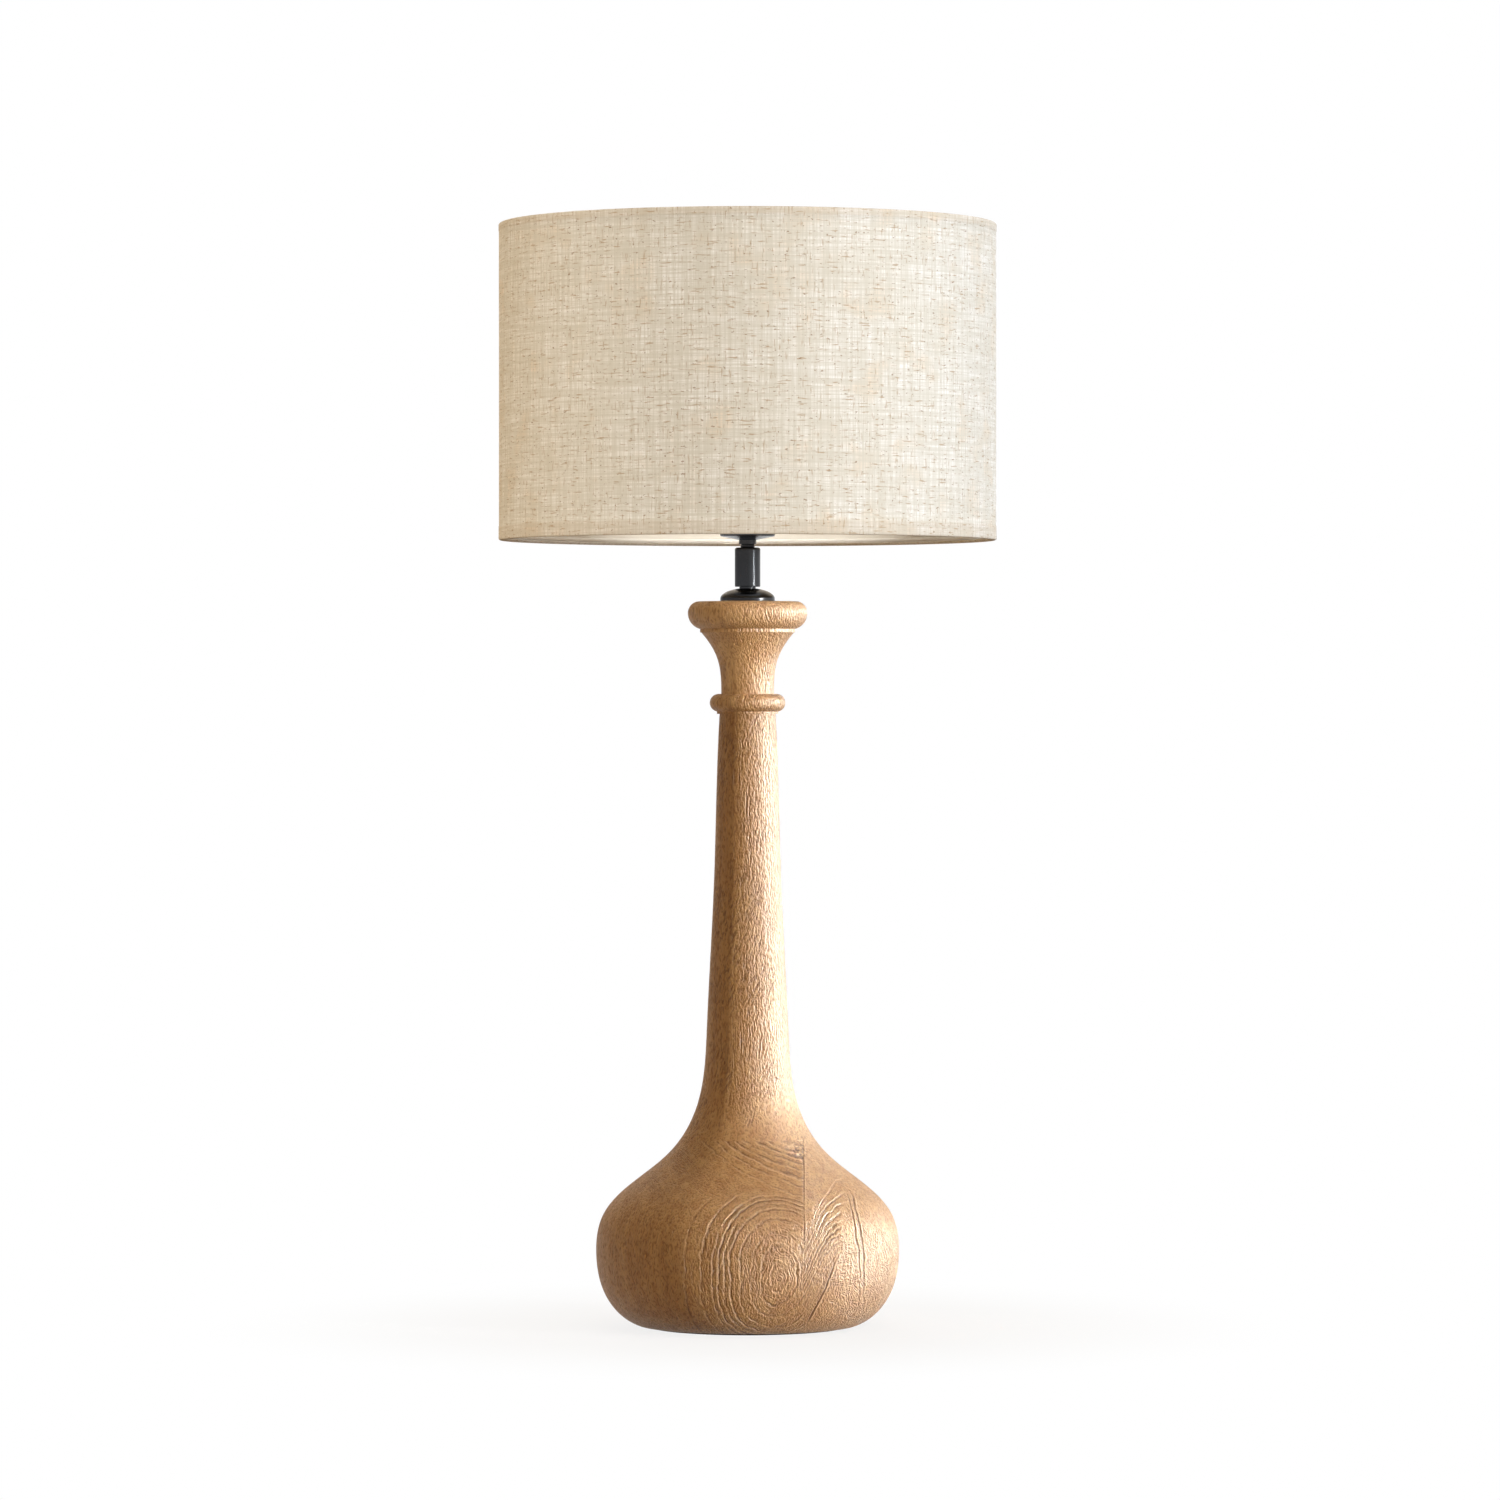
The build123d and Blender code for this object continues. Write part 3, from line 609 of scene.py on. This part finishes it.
def turned(profile, segments, ripple):
    """Points and faces of a closed profile of (radius, height) turned round the axis.
    The ripple gives what the radius gains at a row's radius and height and at an angle."""
    points = []
    for radius, height in profile:
        for step in range(segments):
            angle = tau * step / segments
            reach = radius + ripple(radius, height, angle)
            points.append((reach * cos(angle), reach * sin(angle), height))
    return points, grid_faces(len(profile), segments, closed=True)


def thread(walls, pitch, depth, low, high):
    """The ripple of a rounded screw thread between two heights, on the walls of these radii."""

    def ripple(radius, height, angle):
        if min(abs(radius - wall_radius) for wall_radius in walls) > same_radius:
            return 0.0
        fade = max(0.0, min(1.0, (height - low) / pitch, (high - height) / pitch))
        wave = 0.5 - 0.5 * cos(tau * (height / pitch - angle / tau))
        return -depth * wave * fade

    return ripple


def levels(low, high, step):
    """Heights from low to high, evenly spaced at about this step."""
    return np.linspace(low, high, max(2, round((high - low) / step) + 1))


def wall(radius, low, high, pitch):
    """A wall of a profile, from low to high, with points close enough together for a thread."""
    heights = levels(min(low, high), max(low, high), pitch / rows_per_pitch)
    return [(radius, height) for height in (heights if low < high else heights[::-1])]


# Linen cover
def hem_line(hem):
    """The cloth's middle line from the bottom hem's tuck to the shade's middle, as (radius, height),
    and how many of its first points are the roll under the wire. The hem stands proud of the wall."""
    roll = wire_height - cover_low.z - cloth / 2
    outer = shade_radius - cloth / 2
    roll_points, corner_points = 8, 6
    hem_row, wall_row = 1.5 * MM, 6 * MM
    under = np.linspace(tuck_end, radians(270), roll_points)
    line = [
        (wire_ring_radius + roll * cos(angle), wire_height + roll * sin(angle)) for angle in under
    ]
    bend_radius, bend_height = outer - hem_corner, wire_height - roll + hem_corner
    line += [
        (bend_radius + hem_corner * cos(angle), bend_height + hem_corner * sin(angle))
        for angle in np.linspace(radians(270), radians(360), corner_points)
    ]
    hem_edge = cover_low.z + hem
    line += [(outer, height) for height in levels(bend_height, hem_edge, hem_row)[1:]]
    line.append((outer - hem_step / 2, hem_edge + hem_step))
    straight = levels(hem_edge + 2 * hem_step, shade_middle, wall_row)
    line += [(outer - hem_step, height) for height in straight]
    return line, len(under)


def cover_points(columns):
    """The cloth as a grid, round the shade and past its start for the lap, with its flat places."""
    half, rolled = hem_line(bottom_hem)
    other, _ = hem_line(top_hem)
    top = [(radius, 2 * shade_middle - height) for radius, height in reversed(other[:-1])]
    line = np.array(half + top)
    steps = np.linalg.norm(np.diff(line, axis=0), axis=1)
    along = np.concatenate([[0], np.cumsum(steps)])
    whole = tau + lap / shade_radius
    turns = seam_turn + whole * np.arange(columns) / (columns - 1)
    lift = np.clip((turns - seam_turn - tau + lap_rise_turn) / lap_rise_turn, 0, 1)
    lift = (cloth + lap_gap) * lift * lift * (3 - 2 * lift)
    points, flat = [], []
    for (radius, height), far in zip(line, along):
        slack = slack_depth * np.sin(7 * turns + 40 * far) * np.sin(11 * turns)
        reach = radius + lift + slack * (abs(radius - shade_radius) < MM)
        points += zip(reach * np.cos(turns), reach * np.sin(turns), np.full(columns, height))
        flat += zip((turns - seam_turn) * shade_radius, np.full(columns, far))
    return points, flat, turns, len(line), rolled


def linen_cover():
    """The cover as one sheet, cut at the spider's arms, with its lap at the back."""
    columns = 721
    points, flat, turns, rows, rolled = cover_points(columns)
    faces = []
    for face in grid_faces(rows, columns):
        row, column = divmod(face[0], columns)
        middle = (turns[column] + turns[column + 1]) / 2
        gaps = [abs((middle - turn + pi) % tau - pi) for turn in arm_turns]
        if row < rolled - 1 and min(gaps) < notch_half:
            continue
        faces.append(face[::-1])
    piece = add_piece("linen_cover", points, faces, "shade", "linen")
    places = piece.data.uv_layers.new(name="weave")
    for loop in piece.data.loops:
        places.data[loop.index].uv = flat[loop.vertex_index]
    thick = piece.modifiers.new("cloth", "SOLIDIFY")
    thick.thickness = cloth
    thick.offset = 0.0
    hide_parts("shade_cover")
    return piece


cover = linen_cover()


# Felt under the foot
def felt_disc():
    """The felt pad, with a cut edge that is a little uneven."""
    low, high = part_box("felt_pad")
    radius, top = high.x, high.z
    edge, uneven = 0.4 * MM, 0.25 * MM
    rim_start = 0.98
    segments = 180
    circles = [radius * share for share in np.linspace(0.08, 0.97, 16)]
    profile = [(circle, low.z) for circle in circles]
    profile += [(radius - edge, low.z), (radius, low.z + edge)]
    profile += [(radius, top - edge), (radius - edge, top)]
    profile += [(circle, top) for circle in reversed(circles)]

    def ripple(reach, height, angle):
        rim = max(0.0, reach / radius - rim_start) / (1 - rim_start)
        return -uneven * rim * (1 + sin(37 * angle) * sin(23 * angle + 1))

    points, faces = turned(profile, segments, ripple)
    piece = add_piece("felt_disc", points, faces, "stand", "felt")
    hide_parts("felt_pad")


felt_disc()


# Screw threads
def threaded(name, node_name, body, finish, profile, ripple, segments=64):
    """A turned piece with a screw thread, in place of its plain solid."""
    points, faces = turned(profile, segments, ripple)
    piece = add_piece(name, points, faces, body, finish)
    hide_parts(node_name)


fine_pitch = 1.0 * MM
fine_depth = 0.55 * MM
pipe_bore = 3.8 * MM


def threaded_pipe(name, node_name, finish, thread_length):
    """A pipe with a fine outer thread on this length of both its ends."""
    low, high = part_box(node_name)
    radius = high.x
    low_end, high_start = low.z + thread_length, high.z - thread_length
    profile = [(pipe_bore, low.z)]
    profile += wall(radius, low.z, low_end, fine_pitch) + wall(radius, high_start, high.z, fine_pitch)
    profile.append((pipe_bore, high.z))
    ends = [
        thread([radius], fine_pitch, fine_depth, low.z, low_end),
        thread([radius], fine_pitch, fine_depth, high_start, high.z),
    ]

    def ripple(reach, height, angle):
        return min(end(reach, height, angle) for end in ends)

    threaded(name, node_name, "stand", finish, profile, ripple, 48)


tube_thread = 14 * MM
nipple_low, nipple_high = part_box("holder_nipple")
nipple_thread = 0.49 * (nipple_high.z - nipple_low.z)
threaded_pipe("tube_thread", "threaded_tube", "zinc", tube_thread)
threaded_pipe("nipple_thread", "holder_nipple", "black_nickel", nipple_thread)

# The lampholder's and the bulb's rounded thread, and the coarser one that the shade's ring runs on
lamp_pitch = 3.63 * MM
lamp_sheet = 0.4 * MM
cap_depth = 0.87 * MM
shell_depth = 0.25 * MM
contact_hole = 8.0 * MM
ring_pitch = 2.5 * MM
ring_depth = 0.75 * MM


def cap_thread():
    """The bulb's cap, drawn from thin sheet, with its thread pressed into the wall."""
    low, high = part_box("bulb_cap")
    outer, bevel, plain = high.x, 1.5 * MM, 5 * MM
    inner, inner_low = outer - lamp_sheet, low.z + lamp_sheet + bevel
    profile = [(contact_hole, low.z), (outer - bevel, low.z)]
    profile += wall(outer, low.z + bevel, high.z, lamp_pitch)
    profile += wall(inner, high.z, inner_low, lamp_pitch)
    profile += [(inner - bevel, low.z + lamp_sheet), (contact_hole, low.z + lamp_sheet)]
    ripple = thread([outer, inner], lamp_pitch, cap_depth, low.z + bevel, high.z - plain)
    threaded("cap_thread", "bulb_cap", "bulb", "aluminium", profile, ripple)


def shell_thread():
    """The socket's screw shell, with a shallow thread that lets the bulb's cap through."""
    low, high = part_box("screw_shell")
    outer, inner = high.x, high.x - lamp_sheet
    start, end = low.z + 2 * MM, high.z - 1 * MM
    profile = [(contact_hole, low.z)]
    profile += wall(outer, low.z, high.z, lamp_pitch)
    profile += wall(inner, high.z, low.z + lamp_sheet, lamp_pitch)
    profile.append((contact_hole, low.z + lamp_sheet))
    ripple = thread([outer, inner], lamp_pitch, shell_depth, start, end)
    threaded("shell_thread", "screw_shell", "stand", "brass", profile, ripple)


def skirt_thread():
    """The lampholder's skirt: a spigot in the cup, a flange with a rounded edge, and the thread that the
    shade's ring runs on."""
    low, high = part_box("holder_skirt")
    bore, spigot, shank, edge = 17.25 * MM, 18.25 * MM, 19.35 * MM, 0.8 * MM
    step, flange_low, flange_high = low.z + 6 * MM, low.z + 10 * MM, low.z + 12.5 * MM
    corner = high.x - edge
    profile = [(bore, low.z), (spigot, low.z), (spigot, step), (shank, step), (shank, flange_low)]
    for middle, start in ((flange_low + edge, -90), (flange_high - edge, 0)):
        profile += [
            (corner + edge * cos(radians(angle)), middle + edge * sin(radians(angle)))
            for angle in range(start, start + 91, 18)
        ]
    profile += wall(shank, flange_high, high.z, ring_pitch) + [(bore, high.z)]
    ripple = thread([shank], ring_pitch, ring_depth, flange_high + 1 * MM, high.z)
    threaded("skirt_thread", "holder_skirt", "stand", "holder", profile, ripple, 96)


cap_thread()
shell_thread()
skirt_thread()


# Stage, light and camera
def floor():
    """A pale floor that keeps the lamp's shadow near the foot and is white further out. To the light
    that it throws back at the lamp it is a warm brown."""
    shadow_near, shadow_far = 0.08, 0.4
    least_white = 0.84
    brown, grey = (0.34, 0.24, 0.12, 1.0), (0.9, 0.9, 0.9, 1.0)
    size = 40.0
    material, tree, surface = new_material("floor")
    tree.nodes.remove(surface)
    output = tree.nodes["Material Output"]
    place = node(tree, "TexCoord").outputs["Object"]
    away = node(tree, "VectorMath", {0: place}, operation="LENGTH").outputs["Value"]
    far = band(tree, away, shadow_near, shadow_far)
    path = node(tree, "LightPath").outputs
    seen = calc(tree, "MAXIMUM", path["Is Camera Ray"], path["Is Glossy Ray"])
    seen = calc(tree, "MAXIMUM", seen, path["Is Transmission Ray"])
    white = calc(tree, "MULTIPLY", seen, spread(tree, far, least_white, 1.0))
    plain = node(tree, "BsdfDiffuse", {"Color": blend(tree, seen, brown, grey)})
    glow = node(tree, "Emission", {"Color": (1.0, 1.0, 1.0, 1.0), "Strength": 1.0})
    mixed = node(tree, "MixShader", {0: white, 1: plain.outputs[0], 2: glow.outputs[0]})
    tree.links.new(mixed.outputs[0], output.inputs["Surface"])
    mesh = bpy.data.meshes.new("floor")
    mesh.from_pydata(
        [(-size, -size, 0), (size, -size, 0), (size, size, 0), (-size, size, 0)],
        [],
        [(0, 1, 2, 3)],
    )
    mesh.materials.append(material)
    piece = bpy.data.objects.new("floor", mesh)
    bpy.context.scene.collection.objects.link(piece)


def surroundings():
    """White to look at. Reflections show it white on the right, a little dimmer behind, and dim at the
    front and on the left. It lights the lamp weakly and warmly."""
    bright_way = (0.95, 0.25, 0.1)
    white, dim = (1.0, 1.0, 1.0, 1.0), (0.35, 0.35, 0.36, 1.0)
    warm_fill = (0.36, 0.26, 0.15, 1.0)
    world = bpy.data.worlds.new("studio")
    bpy.context.scene.world = world
    world.use_nodes = True
    tree = world.node_tree
    back = tree.nodes["Background"]
    path = node(tree, "LightPath").outputs
    way = node(tree, "TexCoord").outputs["Generated"]
    ahead = node(tree, "VectorMath", {0: way, 1: bright_way}, operation="DOT_PRODUCT").outputs["Value"]
    mirrored = blend(tree, band(tree, ahead, -0.2, 0.5), dim, white)
    colour = blend(tree, path["Is Glossy Ray"], warm_fill, mirrored)
    seen = calc(tree, "MAXIMUM", path["Is Camera Ray"], path["Is Transmission Ray"])
    fill(tree, back, {"Color": blend(tree, seen, colour, white), "Strength": 1.0})


narrow_beam = 20.0


def soft_box(name, turn, rise, away, aim, size, level, colour, beam=180.0, gives="both", onto=()):
    """A soft oblong lamp, turned from the front towards the right and raised by angles in degrees, that
    looks at a height on the lamp's axis. At a level of 1 it shows a colour that faces it as it is
    written. A narrow beam keeps to a patch of the soft box's own size. A box gives plain light, gloss or
    both, to the pieces that are listed or to all."""
    light = bpy.data.lights.new(name, "AREA")
    light.shape = "RECTANGLE"
    light.size, light.size_y = size
    light.color = colour
    light.spread = radians(beam)
    lit_area = size[0] * size[1] if beam < narrow_beam else pi * away**2
    light.energy = level * pi * lit_area
    across, up = radians(turn), radians(rise)
    way = Vector((-sin(across) * cos(up), cos(across) * cos(up), -sin(up)))
    lamp = bpy.data.objects.new(name, light)
    lamp.location = Vector((0, 0, aim)) - away * way
    lamp.rotation_euler = way.to_track_quat("-Z", "Y").to_euler()
    lamp.visible_diffuse = gives != "gloss"
    lamp.visible_glossy = gives != "light"
    lamp.visible_camera = False
    bpy.context.scene.collection.objects.link(lamp)
    if onto:
        lit = bpy.data.collections.new(name)
        for piece in onto:
            lit.objects.link(piece)
        lamp.light_linking.receiver_collection = lit


def camera():
    """The photograph's view: nearly level, from the front, with a long lens."""
    sideways, away = 1.7 * MM, 4.69
    eye_height, aim_height = 0.4365, 0.4055
    lens = bpy.data.cameras.new("camera")
    lens.sensor_width = 36.0
    lens.lens = 160.0
    eye = bpy.data.objects.new("camera", lens)
    eye.location = (sideways, -away, eye_height)
    aim = Vector((sideways, 0.0, aim_height))
    eye.rotation_euler = (aim - eye.location).to_track_quat("-Z", "Y").to_euler()
    bpy.context.scene.collection.objects.link(eye)
    bpy.context.scene.camera = eye


floor()
surroundings()

# Lamp colours, what the lamps of one finish light, and heights that they look at
neutral = (1.0, 0.98, 0.95)
daylight = (0.95, 1.0, 1.0)
golden = (1.0, 0.98, 0.9)
pale_sky = (0.97, 0.98, 1.0)
amber = (1.0, 0.7, 0.32)
cool = (0.76, 0.85, 1.0)
wooden = [nodes[name] for name in ("turned_base", "turned_neck")]
plated = [nodes[name] for name in ("dome_cap", "coupling_sleeve", "holder_cup")]
near_by, far_off = 1.5, 4.0
wood_aim, stem_aim, shade_aim, mouth_aim, lamp_aim = 0.25, 0.54, 0.664, 0.775, 0.4
shade_box, room_box = (1.6, 0.8), (1.6, 1.6)

# The wood's main light, from the right of the front, and a little more on the top of the neck
soft_box("wood_key", 62, 6, near_by, wood_aim, (0.32, 0.53), 0.92, neutral, beam=2.0)
soft_box("neck_top", 0, 0, near_by, 0.475, (0.12, 0.07), 0.28, daylight, beam=2.0, gives="light")

# A window's gloss on the wood, in panes so that it ends softly, and a glint on the metal
for turn in (76, 87, 98, 109, 120):
    soft_box(
        f"window_{turn}", turn, 4, near_by, wood_aim, (0.4, 0.75), 1.35, golden,
        beam=10.0, gives="gloss", onto=wooden,
    )
soft_box(
    "glint", 58, 2, near_by, stem_aim, (0.12, 0.12), 0.08, daylight, beam=6.0, gives="gloss", onto=plated
)

# The linen's own lamps, and one that looks into the shade from above
soft_box("shade_left", -20, 0, far_off, shade_aim, shade_box, 0.66, pale_sky, onto=[cover])
soft_box("shade_edge", -105, 0, far_off, shade_aim, shade_box, 0.25, amber, onto=[cover])
soft_box("shade_right", 78, 0, far_off, shade_aim, shade_box, 1.24, cool, onto=[cover])
soft_box("shade_mouth", 0, 40, near_by, mouth_aim, (0.26, 0.15), 0.8, neutral, beam=1.5)

# Plain light from above and from behind
soft_box("overhead", 30, 75, 2.4, lamp_aim, room_box, 0.32, neutral, gives="light")
soft_box("behind", 192, 12, 2.6, lamp_aim, room_box, 0.55, neutral, gives="light")
camera()
bpy.context.scene.view_settings.view_transform = "Standard"
